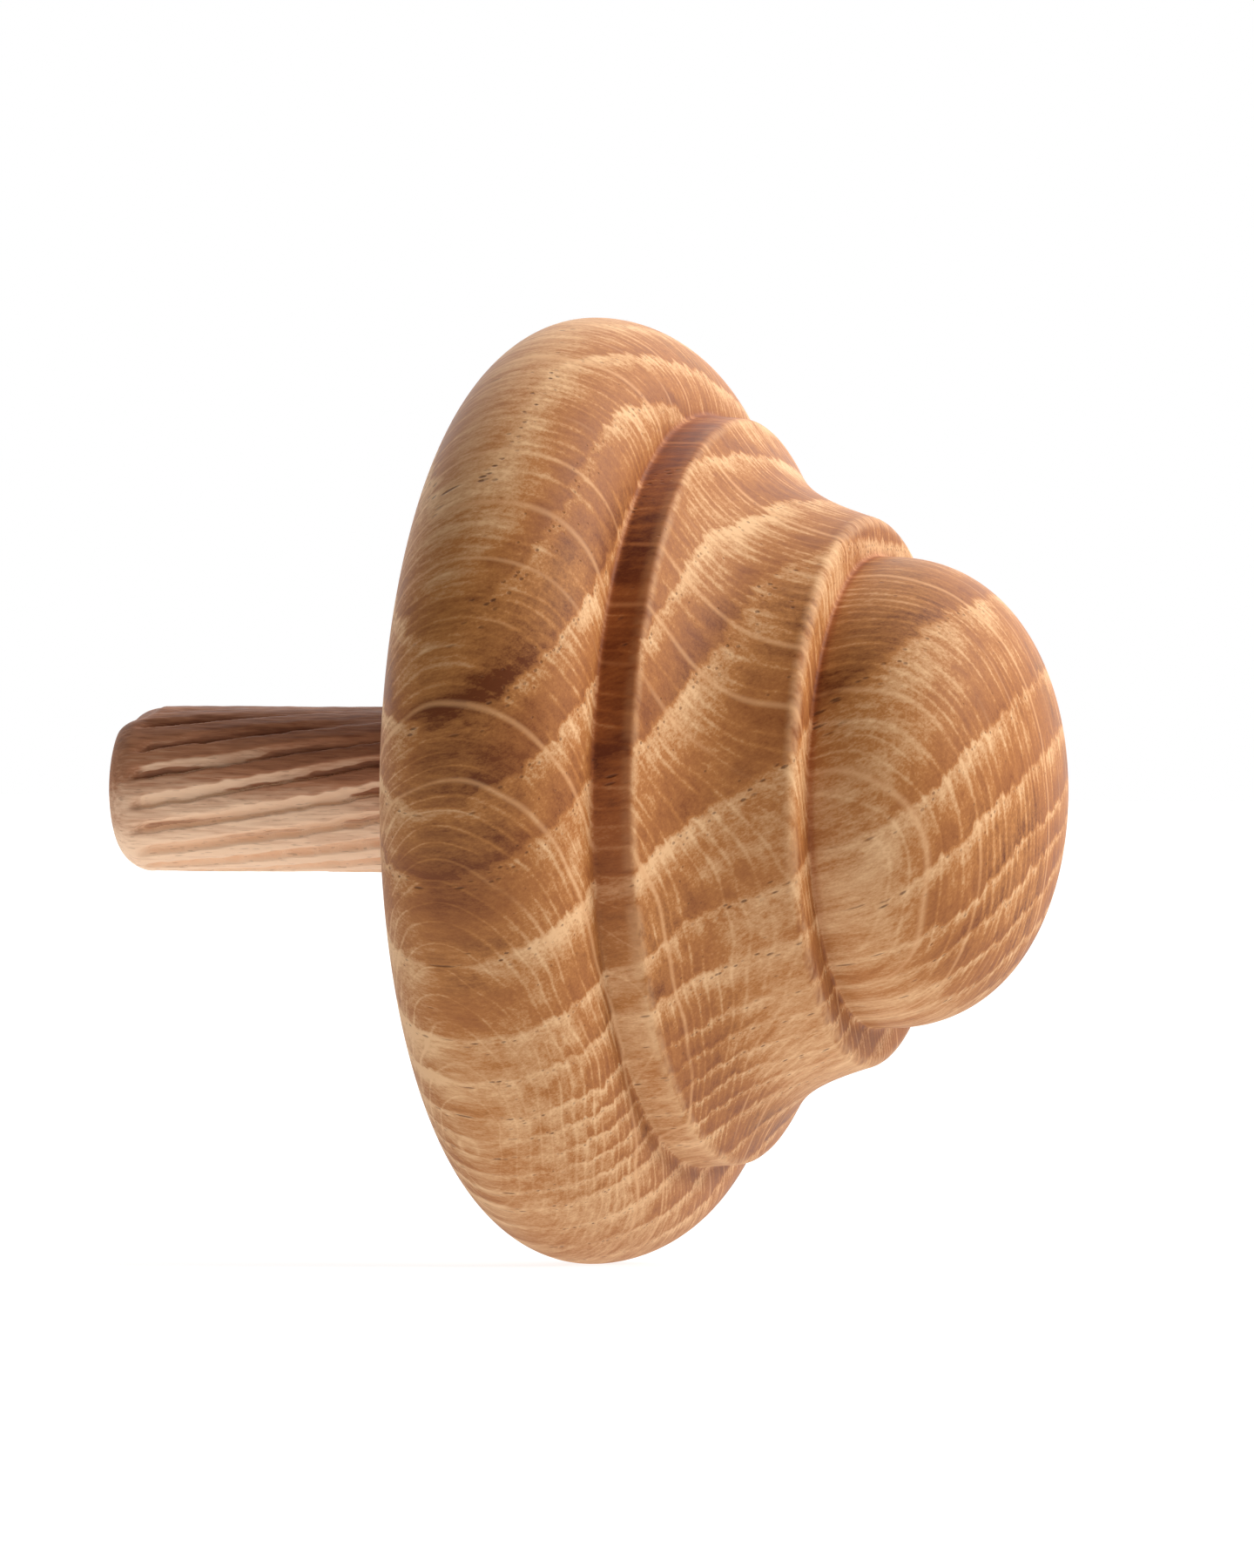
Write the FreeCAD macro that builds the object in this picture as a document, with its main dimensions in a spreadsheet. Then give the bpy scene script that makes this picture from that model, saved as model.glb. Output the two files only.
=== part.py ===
import FreeCAD, Part
import math
import os
import Sketcher
from FreeCAD import Vector

# A turned oak head, shaped like a spinning top, on a spiral-fluted fixing dowel.
# Row frame in millimetres: the lathe axis is +X towards the ball, +Z is up, and the
# origin is the centre of the flat back face that seats against whatever the head caps.

doc = FreeCAD.newDocument("SpinningTop")

# ---------------------------------------------------------------- driving dimensions
sheet = doc.addObject("Spreadsheet::Sheet", "Dimensions")
DIMENSIONS = {
    # disc: a quarter-round from the back face to the rim, another from the rim to the step
    "rim_radius": 34.05,
    "rim_station": 7.7,
    "back_round_depth": 9.3,
    "back_fullness": 0.5523,
    "front_round_length": 8.25,
    "front_fullness": 0.535,
    # step: the short wall the shoulder stands on
    "step_foot_radius": 27.0,
    "step_top_radius": 26.8,
    "step_length": 2.9,
    # shoulder: one hollow sweep from the step's edge down to the collar
    "shoulder_length": 9.1,
    "cove_run": 3.1,
    "cove_radius": 21.7,
    "cove_sweep": 0.85,
    # collar: the rounded lip behind the ball
    "collar_radius": 19.85,
    "collar_round_length": 0.9,
    "collar_face_radius": 18.6,
    # ball: a short straight waist, then a blunt dome
    "ball_radius": 16.9,
    "ball_waist_length": 1.15,
    "ball_dome_length": 11.95,
    "ball_fullness": 0.622,
    # dowel and the blind bore it is glued into
    "dowel_radius": 6.0,
    "dowel_free_length": 27.6,
    "dowel_held_length": 22.4,
    "dowel_chamfer_length": 2.0,
    "dowel_chamfer_depth": 1.2,
    "bore_depth": 23.0,
    # flutes: grooves between raised ribs that turn slowly round the dowel
    "band_length": 0.5,
    "flute_depth": 0.4,
    "flute_count": 18,
    "flute_lead": 218.0,
    "rib_land_half_angle": 4.0,
    "rib_base_half_angle": 8.5,
    "rib_angle": 3.0,
}
for row, (alias, value) in enumerate(DIMENSIONS.items(), start=1):
    sheet.set("A%d" % row, alias)
    sheet.set("B%d" % row, str(value))
    sheet.setAlias("B%d" % row, alias)
doc.recompute()


def dim(expression):
    """The expression with every sheet alias in it spelled in full."""
    words = []
    for word in expression.split():
        words.append("Dimensions." + word if word in DIMENSIONS else word)
    return " ".join(words)


def number(expression):
    """The present value of an expression over the sheet's aliases."""
    return float(sheet.evalExpression(dim(expression)))


def origin_plane(body, role):
    for feature in body.Origin.OriginFeatures:
        if feature.Role == role:
            return feature
    raise ValueError(role)


def new_sketch(body, name, role):
    sketch = body.newObject("Sketcher::SketchObject", name)
    sketch.AttachmentSupport = (origin_plane(body, role), [""])
    sketch.MapMode = "FlatFace"
    return sketch


def bind(sketch, constraint, expression):
    """Add a dimension to a sketch and tie it to the sheet."""
    index = sketch.addConstraint(constraint)
    sketch.setExpression("Constraints[%d]" % index, dim(expression))


# ---------------------------------------------------------------- outlines
def outline(sketch, corners, curves):
    """Draw a closed outline through corners given as pairs of sheet expressions.

    A side is straight unless curves holds, under its number, the two handles that make
    it a cubic curve. Every corner and handle is held by a distance along each axis.
    """
    places = [Vector(number(x), number(y), 0) for x, y in corners]
    count = len(corners)
    sides = []
    for i in range(count):
        start = places[i]
        end = places[(i + 1) % count]
        if i not in curves:
            sides.append(sketch.addGeometry(Part.LineSegment(start, end)))
            continue
        handles = [Vector(number(x), number(y), 0) for x, y in curves[i]]
        curve = Part.BSplineCurve()
        curve.buildFromPolesMultsKnots([start] + handles + [end], [4, 4], [0, 1], False, 3)
        sides.append(sketch.addGeometry(curve))
    for i in range(count):
        sketch.addConstraint(
            Sketcher.Constraint("Coincident", sides[i], 2, sides[(i + 1) % count], 1)
        )
    for i, (x, y) in enumerate(corners):
        hold(sketch, sides[i], 1, x, y)
    for i, handles in curves.items():
        for pole, (x, y) in enumerate(handles, start=1):
            centre = Vector(number(x), number(y), 0)
            knob = sketch.addGeometry(Part.Circle(centre, Vector(0, 0, 1), 0.5), True)
            sketch.addConstraint(Sketcher.Constraint("Radius", knob, 0.5))
            sketch.addConstraint(
                Sketcher.Constraint(
                    "InternalAlignment:Sketcher::BSplineControlPoint", knob, 3, sides[i], pole
                )
            )
            hold(sketch, knob, 3, x, y)


def hold(sketch, geometry, point, x, y):
    """Hold one point at x and y, each a sheet expression, measured from the origin."""
    root = -1
    if x == "0":
        sketch.addConstraint(Sketcher.Constraint("PointOnObject", geometry, point, -2))
    else:
        bind(sketch, Sketcher.Constraint("DistanceX", root, 1, geometry, point, number(x)), x)
    if y == "0":
        sketch.addConstraint(Sketcher.Constraint("PointOnObject", geometry, point, -1))
    else:
        bind(sketch, Sketcher.Constraint("DistanceY", root, 1, geometry, point, number(y)), y)


def revolve(body, name, sketch):
    """Turn a half-outline drawn above the X axis into a solid of revolution."""
    turned = body.newObject("PartDesign::Revolution", name)
    turned.Profile = sketch
    turned.ReferenceAxis = (sketch, ["H_Axis"])
    turned.Angle = 360
    doc.recompute()
    return turned


# ---------------------------------------------------------------- turned head
RIM = "rim_station"
FOOT = RIM + " + front_round_length"
EDGE = FOOT + " + step_length"
COLLAR = EDGE + " + shoulder_length"
CREASE = COLLAR + " + collar_round_length"
WAIST = CREASE + " + ball_waist_length"
TIP = WAIST + " + ball_dome_length"
SEAT_RADIUS = "rim_radius - back_round_depth"
COVE = EDGE + " + cove_run"

head = doc.addObject("PartDesign::Body", "turned_head")
head.Label = "turned_head"
head_outline = new_sketch(head, "HeadOutline", "XZ_Plane")
outline(
    head_outline,
    corners=[
        ("0", "0"),
        ("0", SEAT_RADIUS),
        (RIM, "rim_radius"),
        (FOOT, "step_foot_radius"),
        (EDGE, "step_top_radius"),
        (COLLAR, "collar_radius"),
        (CREASE, "collar_face_radius"),
        (CREASE, "ball_radius"),
        (WAIST, "ball_radius"),
        (TIP, "0"),
    ],
    curves={
        1: [
            ("0", SEAT_RADIUS + " + back_fullness * back_round_depth"),
            (RIM + " * ( 1 - back_fullness )", "rim_radius"),
        ],
        2: [
            (RIM + " + front_fullness * front_round_length", "rim_radius"),
            (FOOT, "step_foot_radius + front_fullness * ( rim_radius - step_foot_radius )"),
        ],
        4: [
            (
                EDGE + " + cove_sweep * cove_run",
                "step_top_radius + cove_sweep * ( cove_radius - step_top_radius )",
            ),
            (
                COLLAR + " + cove_sweep * ( cove_run - shoulder_length )",
                "collar_radius + cove_sweep * ( cove_radius - collar_radius )",
            ),
        ],
        5: [
            (COLLAR + " + 0.6 * collar_round_length", "collar_radius - 0.15"),
            (CREASE, "collar_face_radius + 0.5"),
        ],
        8: [
            (WAIST + " + ball_fullness * ball_dome_length", "ball_radius"),
            (TIP, "ball_fullness * ball_radius"),
        ],
    },
)
revolve(head, "TurnedHead", head_outline)

bore_circle = new_sketch(head, "BoreCircle", "YZ_Plane")
ring = bore_circle.addGeometry(
    Part.Circle(Vector(0, 0, 0), Vector(0, 0, 1), DIMENSIONS["dowel_radius"])
)
bore_circle.addConstraint(Sketcher.Constraint("Coincident", ring, 3, -1, 1))
bind(bore_circle, Sketcher.Constraint("Radius", ring, 6.0), "dowel_radius")
bore = head.newObject("PartDesign::Pocket", "DowelBore")
bore.Profile = bore_circle
bore.Type = "Length"
bore.setExpression("Length", dim("bore_depth"))
bore.Reversed = True
doc.recompute()
head.Tip = bore

# ---------------------------------------------------------------- fluted dowel
CORE = "dowel_radius - flute_depth"
NOSE = "dowel_radius - dowel_chamfer_depth"
FREE_END = "0 - dowel_free_length"
FREE_CHAMFER = FREE_END + " + dowel_chamfer_length"
FLUTE_START = FREE_CHAMFER + " + band_length"
ROOT_BAND = "0 - band_length"
HELD_CHAMFER = "dowel_held_length - dowel_chamfer_length"

dowel = doc.addObject("PartDesign::Body", "fluted_dowel")
dowel.Label = "fluted_dowel"
core_outline = new_sketch(dowel, "CoreOutline", "XZ_Plane")
outline(
    core_outline,
    corners=[
        (FREE_END, "0"),
        (FREE_END, NOSE),
        (FREE_CHAMFER, "dowel_radius"),
        (FLUTE_START, "dowel_radius"),
        (FLUTE_START, CORE),
        (ROOT_BAND, CORE),
        (ROOT_BAND, "dowel_radius"),
        ("0", "dowel_radius"),
        ("0", CORE),
        (HELD_CHAMFER, CORE),
        ("dowel_held_length", NOSE),
        ("dowel_held_length", "0"),
    ],
    curves={
        1: [
            (FREE_END + " + 0.15", "dowel_radius - 0.6 * dowel_chamfer_depth"),
            (FREE_CHAMFER + " - 0.5 * dowel_chamfer_length", "dowel_radius"),
        ],
    },
)
revolve(dowel, "DowelCore", core_outline)

# The straight path every rib follows and the helix that turns it on the way.
path = new_sketch(dowel, "RibPath", "XZ_Plane")
run = path.addGeometry(
    Part.LineSegment(Vector(number(FLUTE_START), 0, 0), Vector(number(HELD_CHAMFER), 0, 0))
)
hold(path, run, 1, FLUTE_START, "0")
hold(path, run, 2, HELD_CHAMFER, "0")

twist = doc.addObject("Part::Helix", "RibTwist")
twist.setExpression("Pitch", dim("flute_lead"))
twist.setExpression("Height", dim(HELD_CHAMFER + " - ( " + FLUTE_START + " )"))
twist.setExpression("Radius", dim("dowel_radius"))
twist.LocalCoord = "Left-handed"
twist.Placement = FreeCAD.Placement(Vector(0, 0, 0), FreeCAD.Rotation(Vector(0, 1, 0), 90))
twist.setExpression("Placement.Base.x", dim(FLUTE_START))



def polar(radius, k, offset):
    """A corner at a radius and at an angle, in degrees, from the middle of rib k."""
    turn = "( rib_angle + %d * 360 / flute_count %s ) * 1deg" % (k, offset)
    return (
        "( " + radius + " ) * cos( " + turn + " )",
        "( " + radius + " ) * sin( " + turn + " )",
    )


rib_corners = []
for k in range(int(number("flute_count"))):
    rib_corners.append(polar(CORE, k, "- rib_base_half_angle"))
    rib_corners.append(polar("dowel_radius", k, "- rib_land_half_angle"))
    rib_corners.append(polar("dowel_radius", k, "+ rib_land_half_angle"))
    rib_corners.append(polar(CORE, k, "+ rib_base_half_angle"))

rib_section = new_sketch(dowel, "RibSection", "YZ_Plane")
rib_section.AttachmentOffset = FreeCAD.Placement(Vector(0, 0, 0), FreeCAD.Rotation())
rib_section.setExpression("AttachmentOffset.Base.z", dim(FLUTE_START))
doc.recompute()
outline(rib_section, rib_corners, curves={})
doc.recompute()

ribs = dowel.newObject("PartDesign::AdditivePipe", "Ribs")
ribs.Profile = rib_section
ribs.Spine = (path, ["Edge1"])
ribs.AuxiliarySpine = (twist, ["Edge1"])
ribs.Mode = "Auxiliary"
ribs.AuxiliaryCurvilinear = True
doc.recompute()
dowel.Tip = ribs
doc.recompute()

# ---------------------------------------------------------------- check and write
for item in doc.Objects:
    if "Invalid" in item.State or "Error" in item.State:
        raise RuntimeError(item.Label + " did not recompute")

os.makedirs("parts", exist_ok=True)
for part in (head, dowel):
    shape = part.Shape
    if shape.isNull() or not shape.isValid() or len(shape.Solids) != 1:
        raise RuntimeError(part.Label + " is not one valid solid")
    shape.exportStep("parts/" + part.Label + ".step")

bore_volume = math.pi * number("dowel_radius") ** 2 * number("bore_depth")
if abs(doc.TurnedHead.Shape.Volume - head.Shape.Volume - bore_volume) > 1.0:
    raise RuntimeError("the bore did not cut into the head")
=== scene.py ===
"""Looks of the spinning-top finial: a turned oak head on a spiral-fluted beech dowel.

The lathe axis is +X towards the ball, +Z is up, and lengths are metres unless a name
ends in _MM. Both pieces are turned again here with closer, softer outlines than the CAD
solids they stand for, and both woods are solid textures that run through the piece.
"""

import math

import bpy
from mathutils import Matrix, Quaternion, Vector, noise


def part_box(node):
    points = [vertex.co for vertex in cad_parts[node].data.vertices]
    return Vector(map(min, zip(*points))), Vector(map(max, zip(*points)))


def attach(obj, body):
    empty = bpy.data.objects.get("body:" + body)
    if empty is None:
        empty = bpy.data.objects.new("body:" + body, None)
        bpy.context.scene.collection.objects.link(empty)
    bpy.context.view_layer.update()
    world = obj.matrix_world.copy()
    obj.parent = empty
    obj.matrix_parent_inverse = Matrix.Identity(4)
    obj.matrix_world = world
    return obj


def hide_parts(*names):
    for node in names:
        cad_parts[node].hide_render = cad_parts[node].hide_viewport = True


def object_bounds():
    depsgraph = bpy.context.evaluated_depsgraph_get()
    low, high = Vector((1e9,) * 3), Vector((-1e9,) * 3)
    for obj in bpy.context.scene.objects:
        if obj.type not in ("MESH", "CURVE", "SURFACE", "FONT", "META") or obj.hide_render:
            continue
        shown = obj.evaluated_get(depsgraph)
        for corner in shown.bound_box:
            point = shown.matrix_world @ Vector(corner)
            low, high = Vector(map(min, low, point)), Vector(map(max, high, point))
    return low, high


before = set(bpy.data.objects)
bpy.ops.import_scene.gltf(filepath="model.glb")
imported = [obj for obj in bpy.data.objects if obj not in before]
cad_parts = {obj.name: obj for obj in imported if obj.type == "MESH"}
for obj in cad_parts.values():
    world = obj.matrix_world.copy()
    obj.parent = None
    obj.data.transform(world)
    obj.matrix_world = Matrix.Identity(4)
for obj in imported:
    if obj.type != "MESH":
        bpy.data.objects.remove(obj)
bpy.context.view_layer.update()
MM = 0.001


# ------------------------------------------------------------------ sizes
# Stations along the axis, from the flat seat at 0 towards the ball.
RIM_MM = 7.7
STEP_FOOT_MM = 15.95
STEP_EDGE_MM = 18.85
COVE_MM = STEP_EDGE_MM + 3.1
COLLAR_MM = 27.95
CREASE_MM = 28.85
WAIST_MM = 30.0
BALL_TIP_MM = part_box("turned_head")[1].x / MM

# Radii at those stations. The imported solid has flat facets, so the rim takes its narrowest
# half, which is a hair under the true radius.
RIM_R_MM = min(abs(v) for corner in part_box("turned_head") for v in (corner.y, corner.z)) / MM
BACK_ROUND_MM = 9.3
SEAT_R_MM = RIM_R_MM - BACK_ROUND_MM
STEP_FOOT_R_MM = 27.0
STEP_EDGE_R_MM = 26.8
COVE_R_MM = 21.7
COLLAR_R_MM = 19.85
FACE_R_MM = 18.6
BALL_R_MM = 16.9

DOWEL_TIP_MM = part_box("fluted_dowel")[0].x / MM
DOWEL_END_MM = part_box("fluted_dowel")[1].x / MM
DOWEL_R_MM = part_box("fluted_dowel")[1].z / MM
CHAMFER_MM = 2.0
CHAMFER_DEPTH_MM = 1.2
BORE_DEPTH_MM = 23.0
FLUTES = 18
FLUTE_LEAD_MM = 218.0
FLUTE_DEPTH_MM = 0.7
# where the flutes start, measured from the tip, and how far they are turned there
FLUTE_START_MM = 2.5
FLUTE_TURN_DEG = -3.0

POINTS_AROUND_HEAD = 256
POINTS_PER_FLUTE = 24


# ------------------------------------------------------------------ outlines
def cubic(start, leave, arrive, end, steps=60):
    """Points along a cubic curve, without its last one."""
    points = []
    for i in range(steps):
        t = i / steps
        s = 1 - t
        weights = (s**3, 3 * s * s * t, 3 * s * t * t, t**3)
        corners = (start, leave, arrive, end)
        points.append(tuple(sum(w * c[k] for w, c in zip(weights, corners)) for k in (0, 1)))
    return points


def straight(start, end, steps=12):
    """Points along a straight side, close together near its ends, without its last one."""
    return cubic(start, start, end, end, steps)


def quarter(start, end, corner, fullness):
    """A quarter-round that leaves start and reaches end heading along the corner's sides."""
    leave = tuple(a + fullness * (c - a) for a, c in zip(start, corner))
    arrive = tuple(b + fullness * (c - b) for b, c in zip(end, corner))
    return cubic(start, leave, arrive, end)


def resample(points, step):
    """The same line with points a step apart."""
    out = [points[0]]
    room = step
    for a, b in zip(points, points[1:]):
        length = math.dist(a, b)
        at = 0.0
        while length - at >= room:
            at += room
            f = at / length
            out.append((a[0] + f * (b[0] - a[0]), a[1] + f * (b[1] - a[1])))
            room = step
        room -= length - at
    out.append(points[-1])
    return out


def soften(points, passes):
    """Eases every corner of an evenly spaced line, as sanding does, and keeps its ends."""
    for _ in range(passes):
        inner = [
            tuple((a[k] + 2 * b[k] + c[k]) / 4 for k in (0, 1))
            for a, b, c in zip(points, points[1:], points[2:])
        ]
        points = [points[0]] + inner + [points[-1]]
    return points


def head_outline():
    """(x, radius) in mm from the bore's edge over the rim and shoulder to the tip."""
    seat, rim = (0, SEAT_R_MM), (RIM_MM, RIM_R_MM)
    foot, edge = (STEP_FOOT_MM, STEP_FOOT_R_MM), (STEP_EDGE_MM, STEP_EDGE_R_MM)
    collar, face = (COLLAR_MM, COLLAR_R_MM), (CREASE_MM, FACE_R_MM)
    crease, waist, tip = (CREASE_MM, BALL_R_MM), (WAIST_MM, BALL_R_MM), (BALL_TIP_MM, 0)
    line = straight((0, DOWEL_R_MM), seat, 40)
    line += quarter(seat, rim, (0, RIM_R_MM), 0.5523)
    line += quarter(rim, foot, (STEP_FOOT_MM, RIM_R_MM), 0.535)
    line += straight(foot, edge, 20)
    line += quarter(edge, collar, (COVE_MM, COVE_R_MM), 0.85)
    line += quarter(collar, face, (CREASE_MM, COLLAR_R_MM), 0.6)
    line += straight(face, crease)
    line += straight(crease, waist)
    line += quarter(waist, tip, (BALL_TIP_MM, BALL_R_MM), 0.622)
    line.append(tip)
    line = soften(resample(line, 0.1), 9)
    return resample(line, 0.2)


def turned_mesh(name, outline, around, radius_at=None):
    """A closed solid turned about the X axis. Its outline starts and ends on the axis."""
    rings = []
    verts = []
    faces = []
    for x, r in outline:
        if r < 1e-6:
            rings.append([len(verts)])
            verts.append((x * MM, 0, 0))
            continue
        rings.append(list(range(len(verts), len(verts) + around)))
        for i in range(around):
            angle = 2 * math.pi * i / around
            here = radius_at(x, r, angle) if radius_at else r
            verts.append((x * MM, here * MM * math.cos(angle), here * MM * math.sin(angle)))
    for low, high in zip(rings, rings[1:]):
        for i in range(around):
            j = (i + 1) % around
            if len(low) == 1:
                faces.append((low[0], high[j], high[i]))
            elif len(high) == 1:
                faces.append((low[i], low[j], high[0]))
            else:
                faces.append((low[i], low[j], high[j], high[i]))
    mesh = bpy.data.meshes.new(name)
    mesh.from_pydata(verts, [], faces)
    mesh.validate()
    mesh.shade_smooth()
    piece = bpy.data.objects.new(name, mesh)
    bpy.context.collection.objects.link(piece)
    return piece


# ------------------------------------------------------------------ pieces
def make_head():
    bore = [(BORE_DEPTH_MM, 0)]
    bore += straight((BORE_DEPTH_MM, DOWEL_R_MM), (0, DOWEL_R_MM), 30)
    return turned_mesh("turned_head_oak", bore + head_outline(), POINTS_AROUND_HEAD)


def smooth(low, high, x):
    """0 at low and 1 at high, easing in and out; low may be above high."""
    t = min(1.0, max(0.0, (x - low) / (high - low)))
    return t * t * (3 - 2 * t)


def fluted_radius(x, r, angle):
    """Radius of the pressed dowel: rounded grooves, uneven as pressed wood is."""
    from_tip = x - DOWEL_TIP_MM
    up, out = math.sin(angle), math.cos(angle)
    twist = 360 * (from_tip - FLUTE_START_MM) / FLUTE_LEAD_MM
    turn = math.degrees(angle) + twist + FLUTE_TURN_DEG
    wander = noise.noise(Vector((x * 0.12, out * 2, up * 2)))
    torn = noise.noise(Vector((x * 0.9, out * 9, up * 9)))
    place = (turn * FLUTES / 360 + 0.08 * wander + 0.08 * torn) % 1
    groove = smooth(0.0, 0.48, place) * smooth(0.60, 0.50, place)
    # the press bit deeper on the lower side
    groove *= FLUTE_DEPTH_MM * (0.75 - 0.5 * up + 0.5 * wander)
    run = smooth(1.5, 3.2, from_tip) * smooth(1.5, 2.5, DOWEL_END_MM - x)
    fray = 0.03 * noise.noise(Vector((x * 0.8, out * 14, up * 14)))
    # fibres torn where the stick was driven in, low on the front
    rough = smooth(-9, -5, x) * smooth(0, -2, x) * smooth(0.6, 0.2, abs(angle - 3.9))
    fray += 0.2 * rough * abs(torn)
    # a knock on the upper edge of the tip
    knock = 0.8 * smooth(0.5, 0.0, abs(angle - math.pi / 2 - 0.2)) * smooth(3.0, 1.4, from_tip)
    return r - (groove + fray + 0.03) * run - knock


def make_dowel():
    nose_r = DOWEL_R_MM - CHAMFER_DEPTH_MM
    nose, end_nose = (DOWEL_TIP_MM, nose_r), (DOWEL_END_MM, nose_r)
    first, last = (DOWEL_TIP_MM + CHAMFER_MM, DOWEL_R_MM), (DOWEL_END_MM - CHAMFER_MM, DOWEL_R_MM)
    line = straight((DOWEL_TIP_MM, 0), nose, 16)
    line += cubic(nose, (nose[0] + 0.15, nose_r + 0.5), (nose[0] + 1.0, DOWEL_R_MM), first)
    line += straight(first, last, 400)
    line += straight(last, end_nose, 8)
    line += straight(end_nose, (DOWEL_END_MM, 0), 8)
    line.append((DOWEL_END_MM, 0))
    line = resample(soften(resample(line, 0.1), 4), 0.2)
    return turned_mesh("fluted_dowel_beech", line, FLUTES * POINTS_PER_FLUTE, fluted_radius)


head = make_head()
dowel = make_dowel()
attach(head, "root")
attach(dowel, "root")
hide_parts("turned_head")
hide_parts("fluted_dowel")


# ------------------------------------------------------------------ node helpers
class Nodes:
    """A short way to write a material's nodes."""

    def __init__(self, name):
        self.material = bpy.data.materials.new(name)
        self.material.use_nodes = True
        self.tree = self.material.node_tree
        self.tree.nodes.clear()

    def add(self, kind, inputs=(), **settings):
        node = self.tree.nodes.new(kind)
        for key, value in settings.items():
            setattr(node, key, value)
        for key, value in dict(inputs).items():
            self.feed(node.inputs[key], value)
        return node

    def feed(self, socket, value):
        if isinstance(value, bpy.types.NodeSocket):
            self.tree.links.new(value, socket)
        elif value is not None:
            socket.default_value = value

    def math(self, operation, a, b=None, c=None):
        node = self.add("ShaderNodeMath", operation=operation)
        for socket, value in zip(node.inputs, (a, b, c)):
            self.feed(socket, value)
        return node.outputs[0]

    def times(self, first, *others):
        for other in others:
            first = self.math("MULTIPLY", first, other)
        return first

    def plus(self, base, value, amount):
        """base + value * amount"""
        return self.math("MULTIPLY_ADD", value, amount, base)

    def vary(self, base, texture, amount, middle=0.5):
        """base + (texture - middle) * amount"""
        return self.plus(base, self.math("SUBTRACT", texture, middle), amount)

    def vector(self, operation, a, b=None, scale=None):
        node = self.add("ShaderNodeVectorMath", operation=operation)
        self.feed(node.inputs[0], a)
        self.feed(node.inputs[1], b)
        if scale is not None:
            self.feed(node.inputs["Scale"], scale)
        return node.outputs[0]

    def dot(self, a, b):
        node = self.add("ShaderNodeVectorMath", operation="DOT_PRODUCT")
        self.feed(node.inputs[0], a)
        self.feed(node.inputs[1], b)
        return node.outputs["Value"]

    def combine(self, x, y, z):
        return self.add("ShaderNodeCombineXYZ", {0: x, 1: y, 2: z}).outputs[0]

    def remap(self, value, low, high, to_low=0.0, to_high=1.0, style="SMOOTHSTEP"):
        node = self.add("ShaderNodeMapRange", interpolation_type=style)
        for socket, v in zip(node.inputs, (value, low, high, to_low, to_high)):
            self.feed(socket, v)
        return node.outputs[0]

    def streaks(self, place, per_mm, detail=2.0, rough=0.5):
        """Noise at its own rate along each of place's three directions."""
        node = self.add(
            "ShaderNodeTexNoise",
            {"Vector": self.vector("MULTIPLY", place, per_mm), "Scale": 1.0,
             "Detail": detail, "Roughness": rough},
        )
        return node.outputs[0]

    def cells(self, place, per_mm):
        """(distance, colour) of long cells, each with a random colour of its own."""
        node = self.add(
            "ShaderNodeTexVoronoi",
            {"Vector": self.vector("MULTIPLY", place, per_mm), "Scale": 1.0},
        )
        return node.outputs["Distance"], node.outputs["Color"]

    def curve(self, value, points):
        """A value read off a line through points, each an (input, output) pair."""
        (low, _), (high, _) = points[0], points[-1]
        ceiling = max(out for _, out in points)
        node = self.add(
            "ShaderNodeFloatCurve", {1: self.remap(value, low, high, style="LINEAR")}
        )
        line = node.mapping.curves[0]
        for at, out in points[1:-1]:
            line.points.new((at - low) / (high - low), out / ceiling)
        line.points[0].location = (0, points[0][1] / ceiling)
        line.points[-1].location = (1, points[-1][1] / ceiling)
        for point in line.points:
            point.handle_type = "VECTOR"
        node.mapping.update()
        return self.math("MULTIPLY", node.outputs[0], ceiling)

    def blend(self, amount, a, b, mode="MIX"):
        node = self.add("ShaderNodeMix", data_type="RGBA", blend_type=mode)
        self.feed(node.inputs[0], amount)
        self.feed(node.inputs[6], a)
        self.feed(node.inputs[7], b)
        return node.outputs[2]

    def place_mm(self, centre=(0.0, 0.0, 0.0)):
        """Where a point is in the piece, in mm from centre."""
        place = self.add("ShaderNodeTexCoord").outputs["Object"]
        return self.vector("SCALE", self.vector("SUBTRACT", place, centre), scale=1 / MM)

    def from_axis(self, place):
        """A point's distance from the lathe axis."""
        round_axis = self.vector("MULTIPLY", place, (0.0, 1.0, 1.0))
        return self.math("SQRT", self.dot(round_axis, round_axis))

    def finish(self, specular, inputs):
        """Ends the material in one principled shader."""
        shader = self.add("ShaderNodeBsdfPrincipled", inputs)
        shader.inputs["Specular IOR Level"].default_value = specular
        out = self.add("ShaderNodeOutputMaterial")
        self.tree.links.new(shader.outputs[0], out.inputs["Surface"])
        return self.material


def colour(r, g, b):
    """A colour given as 0 to 255 screen values, as the linear value shaders use."""
    def linear(v):
        v /= 255
        return v / 12.92 if v <= 0.04045 else ((v + 0.055) / 1.055) ** 2.4

    return (linear(r), linear(g), linear(b), 1.0)


ALONG_X, ALONG_Y, ALONG_Z = (1.0, 0.0, 0.0), (0.0, 1.0, 0.0), (0.0, 0.0, 1.0)


# ------------------------------------------------------------------ oak
# Growth rings are gently curved sheets. RING_LEAN says how fast the ring distance, in mm,
# grows along each axis at the rim's centre, and RING_BEND how that changes 30 mm away.
GRAIN_CENTRE = (RIM_MM * MM, 0.0, 0.0)
RING_LEAN = (-0.16, -0.44, 0.90)
RING_BEND = ((-0.04, 0.04, -0.22), (0.0, 0.08, 0.16), (0.0, 0.0, -0.09))
# The tree's growth: years counted by ring distance in mm. Fast years are 6 mm, slow ones 2.
GROWTH = ((-34.0, 0), (-18.4, 4), (-7.2, 9), (0.9, 11), (13.3, 13), (33.0, 18))
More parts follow.
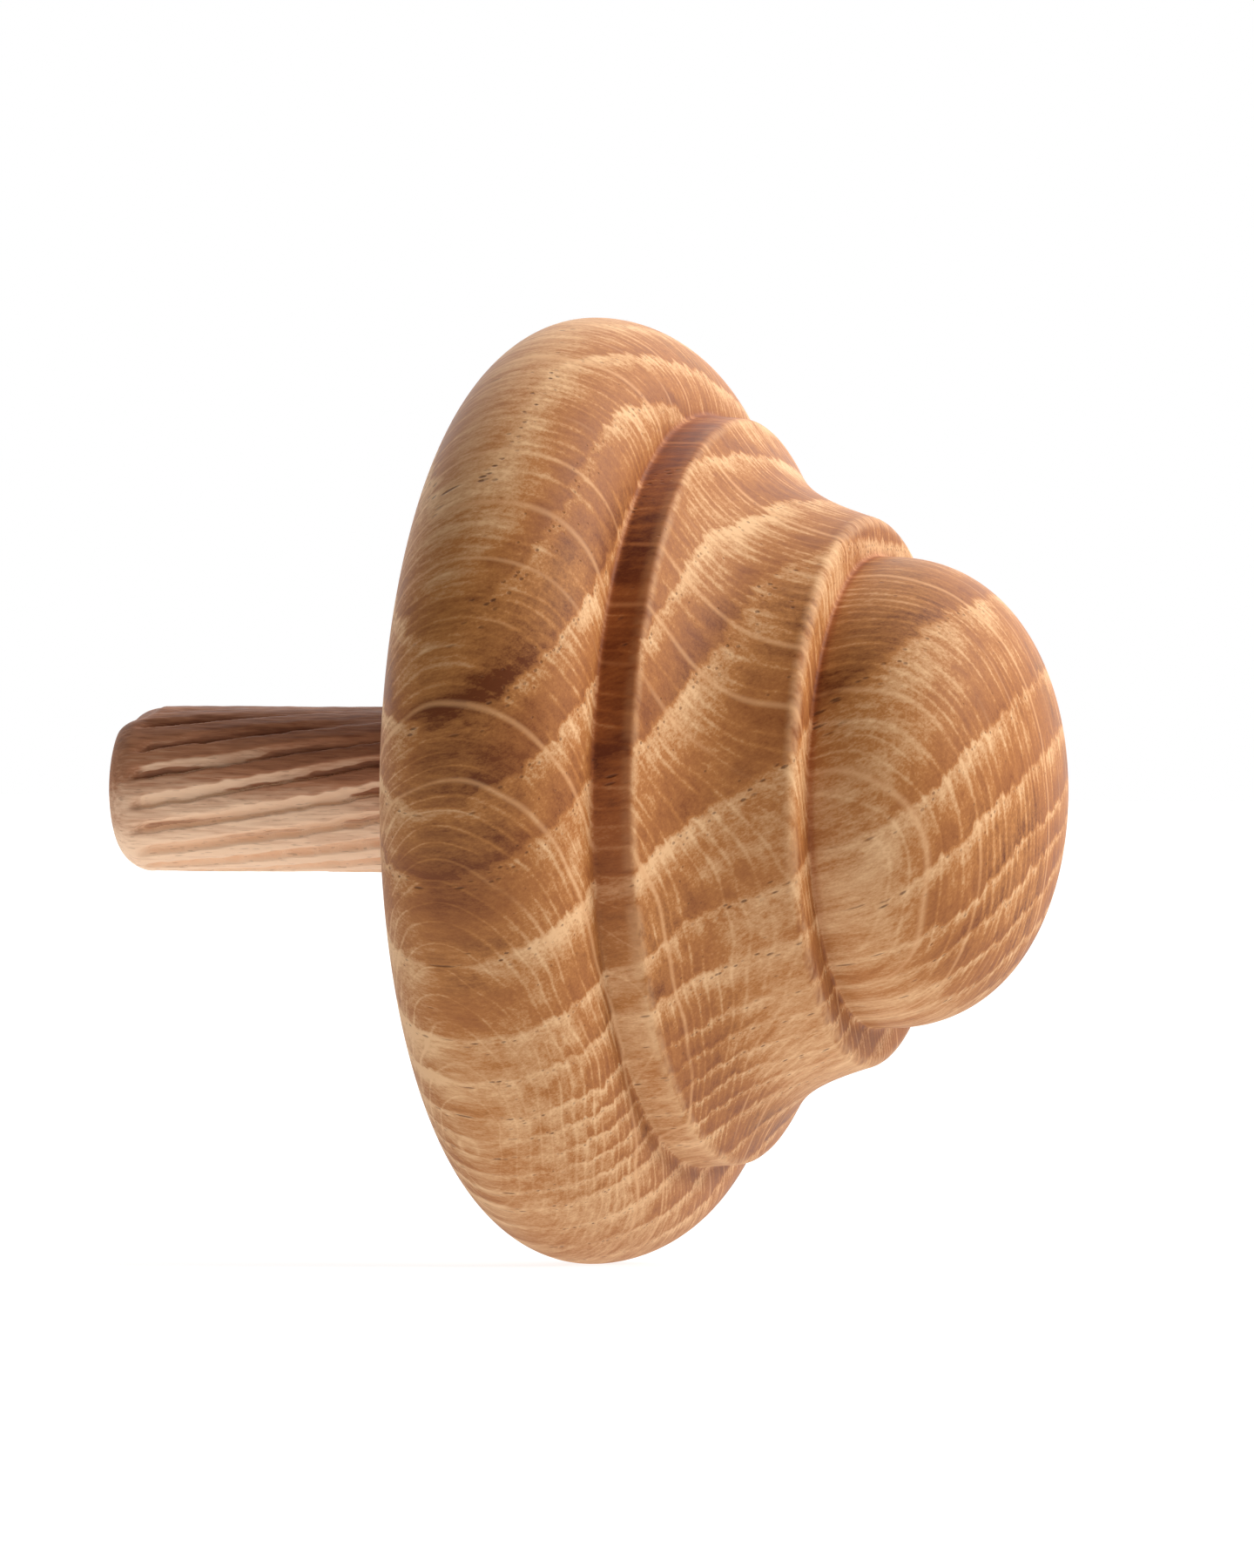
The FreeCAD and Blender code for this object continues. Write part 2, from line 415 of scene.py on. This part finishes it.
# Rays are thin sheets square to the rings, and run along the grain.
RAY_LEAN = (-0.22, -0.84, -0.50)
RAY_BEND = ((0.18, -0.14, 0.23), (0.0, -0.08, 0.0), (0.0, 0.0, 0.15))
RAY_GAP_MM = 0.62
# The fibres run along the lathe axis and climb a little above it.
FIBRE = (1.0, 0.0, 0.18)
# Behind and above these distances in mm the rings bend flatter around the tree.
FLATTER_BEHIND_MM = -15.0
FLATTER_ABOVE_MM = -4.0
FLATTER_RATE = 0.0138
# Low at the back the end grain is painted paler: painted light from below.
PAINTED_BOUNCE_TOWARDS = (-0.5, -0.3, -0.8)
PAINTED_BOUNCE_MM = (14.0, 26.0)

OAK_PALE = colour(222, 178, 133)
OAK_MID = colour(175, 115, 62)
OAK_DARK = colour(104, 52, 22)
OAK_WARM = colour(164, 98, 50)
OAK_RAY = colour(208, 156, 110)
OAK_PORE = colour(88, 50, 26)
# painted shade: the colour that the recesses are multiplied by
PAINTED_SHADE_TINT = colour(222, 190, 168)
# (start, end, radius) in mm: painted shade in the step and in the crease beside the ball, darker
# towards the top
SHADED_RECESSES = ((STEP_FOOT_MM, STEP_EDGE_MM, 27.4), (CREASE_MM, CREASE_MM + 0.5, 17.3))
# (x, radius) in mm of the turned edges, where a pale line is painted as a highlight
HIGHLIGHT_EDGES = ((STEP_EDGE_MM, STEP_EDGE_R_MM), (CREASE_MM - 0.4, 19.5))


def sheet_distance(n, place, lean, bend):
    """Distance in mm through a stack of bent sheets: how far along their common normal."""
    bent = n.combine(*[n.dot(place, tuple(b / 30 for b in row)) for row in bend])
    return n.dot(place, n.vector("ADD", bent, lean))


def oak_grain(n):
    """(ring distance, ray distance, distance along the fibres), each in mm."""
    place = n.place_mm(GRAIN_CENTRE)
    depth = sheet_distance(n, place, RING_LEAN, RING_BEND)
    behind = n.math("MAXIMUM", n.dot(place, ALONG_Y), FLATTER_BEHIND_MM)
    above = n.math("MAXIMUM", n.dot(place, ALONG_Z), FLATTER_ABOVE_MM)
    flatter = n.times(n.math("SUBTRACT", behind, FLATTER_BEHIND_MM),
                      n.math("SUBTRACT", above, FLATTER_ABOVE_MM))
    depth = n.plus(depth, flatter, FLATTER_RATE)
    across = sheet_distance(n, place, RAY_LEAN, RAY_BEND)
    return depth, across, n.dot(place, FIBRE)


def thin_rays(n, grain_axes, gap, half_width, share, seed):
    """Light lines where ray sheets cut the surface, one per gap, each of its own strength."""
    depth, across, along = grain_axes
    axes = n.combine(across, depth, along)
    sway = n.streaks(axes, (0.12, 0.07, 0.05), 2.0, 0.55)
    count = n.math("DIVIDE", n.plus(across, sway, 2.6), gap)
    count = n.math("ADD", count, seed)
    each = n.math("FLOOR", count)
    chance = n.add("ShaderNodeTexWhiteNoise", {"W": each}, noise_dimensions="1D").outputs[0]
    off = n.math("ABSOLUTE", n.math("SUBTRACT", n.math("FRACT", count), 0.5))
    reach_mm = n.times(half_width, n.plus(0.6, chance, 0.8))
    line = n.remap(n.times(off, gap), 0.0, reach_mm, 1.0, 0.0)
    reach = n.streaks(n.combine(each, depth, along), (7.3, 0.14, 0.20))
    strength = n.plus(n.times(chance, 0.5), reach, 0.7)
    strength = n.remap(n.math("ADD", strength, share), 0.95, 1.2)
    return n.times(line, strength)


def oak_years(n, depth, grain, ragged, grit):
    """(pale early wood, dark late wood, the row of pores that starts each year)."""
    # rings wander slowly, and each ray shifts them a little, which makes their edges ragged
    slow = n.streaks(grain, (0.10, 0.10, 0.03), 1.0)
    shift = n.times(n.math("SUBTRACT", ragged, 0.5), 2.2)
    wander = n.math("ADD", n.vary(depth, slow, 1.4), shift)
    wander = n.vary(wander, grit, 0.35)
    widths = [(b[0] - a[0]) / (b[1] - a[1]) for a, b in zip(GROWTH, GROWTH[1:])]
    widths = [(w1 + w2) / 2 for w1, w2 in zip(widths[:1] + widths, widths + widths[-1:])]
    part = n.math("FRACT", n.curve(wander, GROWTH))
    width = n.curve(wander, [(at, w) for (at, _), w in zip(GROWTH, widths)])
    # a year starts at the edge towards greater ring distance, with pale porous early wood
    since = n.times(n.math("SUBTRACT", 1.0, part), width)
    until = n.times(part, width)
    edge = n.remap(since, 0.0, 0.35)
    uneven = n.streaks(grain, (0.11, 0.20, 0.04))
    fade = n.math("MINIMUM", n.remap(uneven, 0.3, 0.65, 1.3, 3.4), n.times(width, 0.5))
    # the start of a year is ragged, and its early wood fades away smoothly
    even = n.plus(since, shift, 0.75)
    early = n.times(edge, n.remap(even, 0.2, fade, 1.0, 0.0), n.remap(uneven, 0.25, 0.6, 0.45, 1.0))
    late = n.remap(until, n.times(width, 0.5), 0.0)
    row = n.times(edge, n.remap(since, 0.4, 1.1, 1.0, 0.0))
    return early, late, row


def oak_pores(n, grain, row, large_rays):
    """Tubes along the fibres: (broken rows where each year starts, single dashes between)."""
    distance, each = n.cells(grain, (3.2, 3.2, 0.26))
    some = n.remap(n.dot(each, ALONG_X), 0.35, 0.6)
    rows = n.times(n.remap(distance, 0.16, 0.38, 1.0, 0.0), some, row,
                   n.math("SUBTRACT", 1.0, large_rays))
    distance, each = n.cells(grain, (1.9, 1.9, 0.16))
    few = n.remap(n.dot(each, ALONG_Y), 0.72, 0.8)
    return rows, n.times(n.remap(distance, 0.05, 0.17, 1.0, 0.0), few)


def oak_painted_highlight_and_shade(n, wood, patch):
    """Paints highlights along the turned edges, and paints shade in the step and in the crease
    beside the ball.
    """
    seat = n.place_mm()
    axial = n.dot(seat, ALONG_X)
    radius = n.from_axis(seat)
    # painted highlight: a pale, patchy line along each turned edge
    for x, r in HIGHLIGHT_EDGES:
        off = n.math("ADD", n.math("ABSOLUTE", n.math("SUBTRACT", axial, x)),
                     n.math("ABSOLUTE", n.math("SUBTRACT", radius, r)))
        edge_highlight = n.times(n.remap(off, 0.3, 1.1, 1.0, 0.0), n.remap(patch, 0.25, 0.6))
        wood = n.blend(n.times(edge_highlight, 0.35), wood, OAK_PALE)
    # painted shade in the step and the crease, strongest at the top and fading out below
    for start, end, reach in SHADED_RECESSES:
        recess_shade = n.times(n.remap(axial, start - 0.4, start + 0.2),
                         n.remap(axial, end - 0.3, end + 0.3, 1.0, 0.0),
                         n.remap(radius, reach - 0.4, reach + 0.4, 1.0, 0.0),
                         n.remap(n.dot(seat, ALONG_Z), -16.0, 0.0))
        wood = n.blend(recess_shade, wood, PAINTED_SHADE_TINT, "MULTIPLY")
    return wood


def oak_base(n, depth, brown, end_grain):
    """The wood's broad tone, from 0 for dark to 1 for pale.

    Side grain is pale towards the bark and the pith, and brown in the years between. End
    grain drinks more oil, so it is darker than pale side grain, and changes less.
    """
    side_tone = n.plus(0.68, brown, -0.36)
    end_tone = n.remap(depth, -7.0, 0.0, 0.36, 0.51)
    # painted light: end grain paler low at the back, standing in for light bounced from below
    painted_bounce = n.remap(n.dot(n.place_mm(GRAIN_CENTRE), PAINTED_BOUNCE_TOWARDS), *PAINTED_BOUNCE_MM)
    end_tone = n.plus(end_tone, painted_bounce, 0.36)
    return n.plus(side_tone, end_grain, n.math("SUBTRACT", end_tone, side_tone))


def oak_material():
    n = Nodes("oak_oiled")
    grain_axes = oak_grain(n)
    depth = grain_axes[0]
    grain = n.combine(*grain_axes)
    ragged = n.streaks(grain, (0.3, 1.1, 0.08), 3.0, 0.6)
    grit = n.streaks(grain, (4.5, 4.5, 0.9), 2.0, 0.6)
    cloud = n.streaks(grain, (0.20, 0.12, 0.04), 3.0, 0.6)
    speck = n.streaks(grain, (11.0, 11.0, 4.0), 1.0)
    patch = n.streaks(grain, (0.7, 1.3, 0.14), 2.0, 0.7)
    fibre = n.streaks(grain, (6.0, 6.0, 0.30), 2.0, 0.6)

    # how far the surface cuts across the fibres, and how squarely it cuts the rays
    facing = n.add("ShaderNodeTexCoord").outputs["Normal"]
    end_grain = n.remap(n.math("ABSOLUTE", n.dot(facing, FIBRE)), 0.2, 0.75)
    level = n.dot(facing, RAY_LEAN)
    square = n.math("SQRT", n.math("MAXIMUM", n.plus(1.0, n.times(level, level), -1.0), 0.06))

    early, late, row = oak_years(n, depth, grain, ragged, grit)

    # rays: fine ones close together in some places, and a few large ones
    crowd = n.vary(n.remap(square, 0.3, 1.0, 0.82, 0.56), cloud, 1.0)
    fine = thin_rays(n, grain_axes, RAY_GAP_MM, n.times(square, 0.18), crowd, 0.0)
    large = thin_rays(n, grain_axes, 5 * RAY_GAP_MM, n.times(square, 0.24), 0.55, 50.0)
    large = n.times(large, n.remap(square, 0.35, 0.65))

    brown = n.times(n.remap(depth, -6.0, 17.0), n.remap(depth, 28.5, 22.0))
    tone = oak_base(n, depth, brown, end_grain)
    tone = n.vary(tone, cloud, n.plus(0.5, brown, 0.8))
    tone = n.vary(tone, fibre, n.plus(0.22, end_grain, 0.14))
    tone = n.vary(tone, speck, 0.30)
    tone = n.vary(tone, ragged, 0.60)
    tone = n.vary(tone, grit, n.plus(0.38, early, 0.25))
    tone = n.vary(tone, patch, 0.50)
    # rings and rays show more on end grain and on brown wood
    contrast = n.math("MAXIMUM", end_grain, brown)
    tone = n.plus(tone, early, n.plus(0.14, end_grain, 0.26))
    tone = n.plus(tone, late, n.plus(-0.04, contrast, -0.13))
    tone = n.vary(tone, fine, n.plus(0.08, contrast, 0.14), 0.2)

    wood = n.blend(n.remap(tone, 0.0, 0.5, style="LINEAR"), OAK_DARK, OAK_MID)
    wood = n.blend(n.remap(tone, 0.5, 1.0, style="LINEAR"), wood, OAK_PALE)
    warm = n.plus(n.streaks(grain, (0.12, 0.09, 0.03), 1.0), end_grain, 0.12)
    warmth = n.times(n.remap(warm, 0.42, 0.62), n.remap(tone, 0.7, 0.3), 0.4)
    wood = n.blend(warmth, wood, OAK_WARM)
    wood = n.blend(n.times(large, 0.55), wood, OAK_RAY)

    rows, dash = oak_pores(n, grain, row, large)
    wood = n.blend(n.times(rows, n.plus(0.8, end_grain, -0.3)), wood, OAK_PORE)
    wood = n.blend(n.times(dash, 0.5), wood, OAK_PORE)
    pores = n.math("MAXIMUM", rows, n.times(dash, 0.6))
    # painted highlights on the turned edges and painted shade in the recesses
    wood = oak_painted_highlight_and_shade(n, wood, patch)

    height = n.plus(n.times(fibre, 0.25), pores, -1.0)
    bump = n.add("ShaderNodeBump", {"Strength": 0.5, "Distance": 0.0001, "Height": height})
    return n.finish(0.22, {"Base Color": wood, "Normal": bump.outputs[0],
                           "Roughness": n.remap(tone, 0.0, 1.0, 0.52, 0.66, "LINEAR")})


# ------------------------------------------------------------------ beech dowel
BEECH_PALE = colour(240, 203, 170)
BEECH_MID = colour(180, 124, 90)
BEECH_DARK = colour(110, 62, 38)


def beech_material():
    n = Nodes("beech_raw")
    place = n.place_mm()
    axial, upward = n.dot(place, ALONG_X), n.dot(place, ALONG_Z)
    fibre = n.streaks(place, (0.35, 4.0, 4.0), 3.0, 0.55)
    fleck = n.streaks(place, (0.9, 3.0, 8.0), 1.0)
    cloud = n.streaks(place, (0.06, 0.3, 0.3))
    # the groove walls are painted paler, as painted light from below, and the bottom of each groove
    # is painted darker, as painted shade
    full_mm = n.plus(0.75 * FLUTE_DEPTH_MM, upward, -0.5 * FLUTE_DEPTH_MM / DOWEL_R_MM)
    cut = n.math("DIVIDE", n.math("SUBTRACT", DOWEL_R_MM, n.from_axis(place)), full_mm)
    # the painted light and shade of the flutes start just past the flutes' start, and are weaker on
    # top, where the flutes are shallow
    from_tip = n.math("SUBTRACT", axial, DOWEL_TIP_MM)
    shown = n.times(n.remap(from_tip, FLUTE_START_MM - 0.1, FLUTE_START_MM + 0.7),
                    n.remap(upward, 4.5, 0.5, 0.15, 1.0))
    groove_wall_light = n.times(n.remap(cut, 0.10, 0.32), shown)
    groove_bottom_shade = n.times(n.remap(cut, 0.84, 0.99), shown)
    tone = n.plus(n.plus(0.05, cloud, 0.4), fibre, 0.35)
    # painted light on the groove walls
    tone = n.plus(tone, groove_wall_light, 0.24)
    # painted shade in the bottom of each groove
    tone = n.plus(tone, groove_bottom_shade, -0.28)
    # painted light and shade: the stick is painted darker on top and paler underneath, as if lit
    # from below
    tone = n.math("ADD", tone, n.remap(n.dot(place, (0.0, 0.2, 1.0)), 3.0, -5.5, -0.06, 0.36))
    wood = n.blend(n.remap(tone, 0.25, 0.5, style="LINEAR"), BEECH_DARK, BEECH_MID)
    wood = n.blend(n.remap(tone, 0.5, 0.75, style="LINEAR"), wood, BEECH_PALE)
    wood = n.blend(n.times(n.remap(fleck, 0.62, 0.72), 0.3), wood, BEECH_DARK)
    bump = n.add("ShaderNodeBump", {"Strength": 0.6, "Distance": 0.0001, "Height": fibre})
    return n.finish(0.3, {"Base Color": wood, "Normal": bump.outputs[0],
                          "Roughness": n.remap(fibre, 0.3, 0.7, 0.6, 0.75, "LINEAR")})


head.data.materials.append(oak_material())
dowel.data.materials.append(beech_material())


# ------------------------------------------------------------------ studio
FLOOR_HALF_SIDE = 60.0
CAMERA_DISTANCE = 2.0
# the camera looks level, this far round from square to the axis, and rolled this much
VIEW_AZIMUTH_DEG = 17.5
VIEW_ROLL_RAD = 0.0057
# how much it sees from top to bottom, and how far right of and above the rim's centre it looks
VIEW_HEIGHT = 0.1128
VIEW_OFFSET = (0.0023, 0.0005)


def make_floor():
    """Plain paper that glows a little, so that it lights the object from below."""
    low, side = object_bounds()[0].z, FLOOR_HALF_SIDE
    corners = [(-side, -side, low), (side, -side, low), (side, side, low), (-side, side, low)]
    mesh = bpy.data.meshes.new("floor")
    mesh.from_pydata(corners, [], [(0, 1, 2, 3)])
    floor = bpy.data.objects.new("floor", mesh)
    bpy.context.collection.objects.link(floor)
    paper = Nodes("floor_paper").finish(
        0.0,
        {"Base Color": (0.3, 0.3, 0.3, 1), "Roughness": 0.9,
         "Emission Color": (1, 1, 1, 1), "Emission Strength": 0.84},
    )
    mesh.materials.append(paper)


def soft_light(name, from_camera_deg, elevation_deg, power, spread_deg, tint=(1, 1, 1)):
    """A far, broad lamp, so its light is the same all over the floor."""
    lamp = bpy.data.lights.new(name, "SUN")
    lamp.energy = power
    lamp.angle = math.radians(spread_deg)
    lamp.color = tint
    light = bpy.data.objects.new(name, lamp)
    turn, rise = math.radians(VIEW_AZIMUTH_DEG + from_camera_deg), math.radians(elevation_deg)
    source = Vector((math.sin(turn) * math.cos(rise), -math.cos(turn) * math.cos(rise),
                     math.sin(rise)))
    light.location = source * 0.5
    light.rotation_mode = "QUATERNION"
    light.rotation_quaternion = (-source).to_track_quat("-Z", "Y")
    bpy.context.collection.objects.link(light)


def make_camera():
    data = bpy.data.cameras.new("camera")
    data.sensor_width = 36
    data.lens = data.sensor_width * CAMERA_DISTANCE / VIEW_HEIGHT
    data.clip_start = 0.1
    data.clip_end = 500
    camera = bpy.data.objects.new("camera", data)
    azimuth = math.radians(VIEW_AZIMUTH_DEG)
    right = Vector((math.cos(azimuth), math.sin(azimuth), 0))
    back = Vector((math.sin(azimuth), -math.cos(azimuth), 0))
    rim_centre = Vector((RIM_MM * MM, 0, 0))
    target = rim_centre + right * VIEW_OFFSET[0] + Vector((0, 0, VIEW_OFFSET[1]))
    camera.location = target + back * CAMERA_DISTANCE
    camera.rotation_mode = "QUATERNION"
    camera.rotation_quaternion = (-back).to_track_quat("-Z", "Y")
    camera.rotation_quaternion = camera.rotation_quaternion @ Quaternion((0, 0, 1), VIEW_ROLL_RAD)
    bpy.context.collection.objects.link(camera)
    bpy.context.scene.camera = camera


def make_world():
    """White to look at, and a dim fill as a light, so the lamps shape the object."""
    world = bpy.data.worlds.new("studio")
    world.use_nodes = True
    nodes, links = world.node_tree.nodes, world.node_tree.links
    background = nodes["Background"]
    seen = nodes.new("ShaderNodeLightPath")
    level = nodes.new("ShaderNodeMapRange")
    links.new(seen.outputs["Is Camera Ray"], level.inputs["Value"])
    level.inputs["To Min"].default_value = 0.02
    level.inputs["To Max"].default_value = 1.0
    background.inputs["Color"].default_value = (1, 1, 1, 1)
    links.new(level.outputs[0], background.inputs["Strength"])
    bpy.context.scene.world = world


make_floor()
make_camera()
make_world()
soft_light("key", 90, 40, 4.0, 50, (1.0, 0.98, 0.95))
soft_light("back", 180, 32, 3.4, 90)
bpy.context.scene.view_settings.view_transform = "Standard"
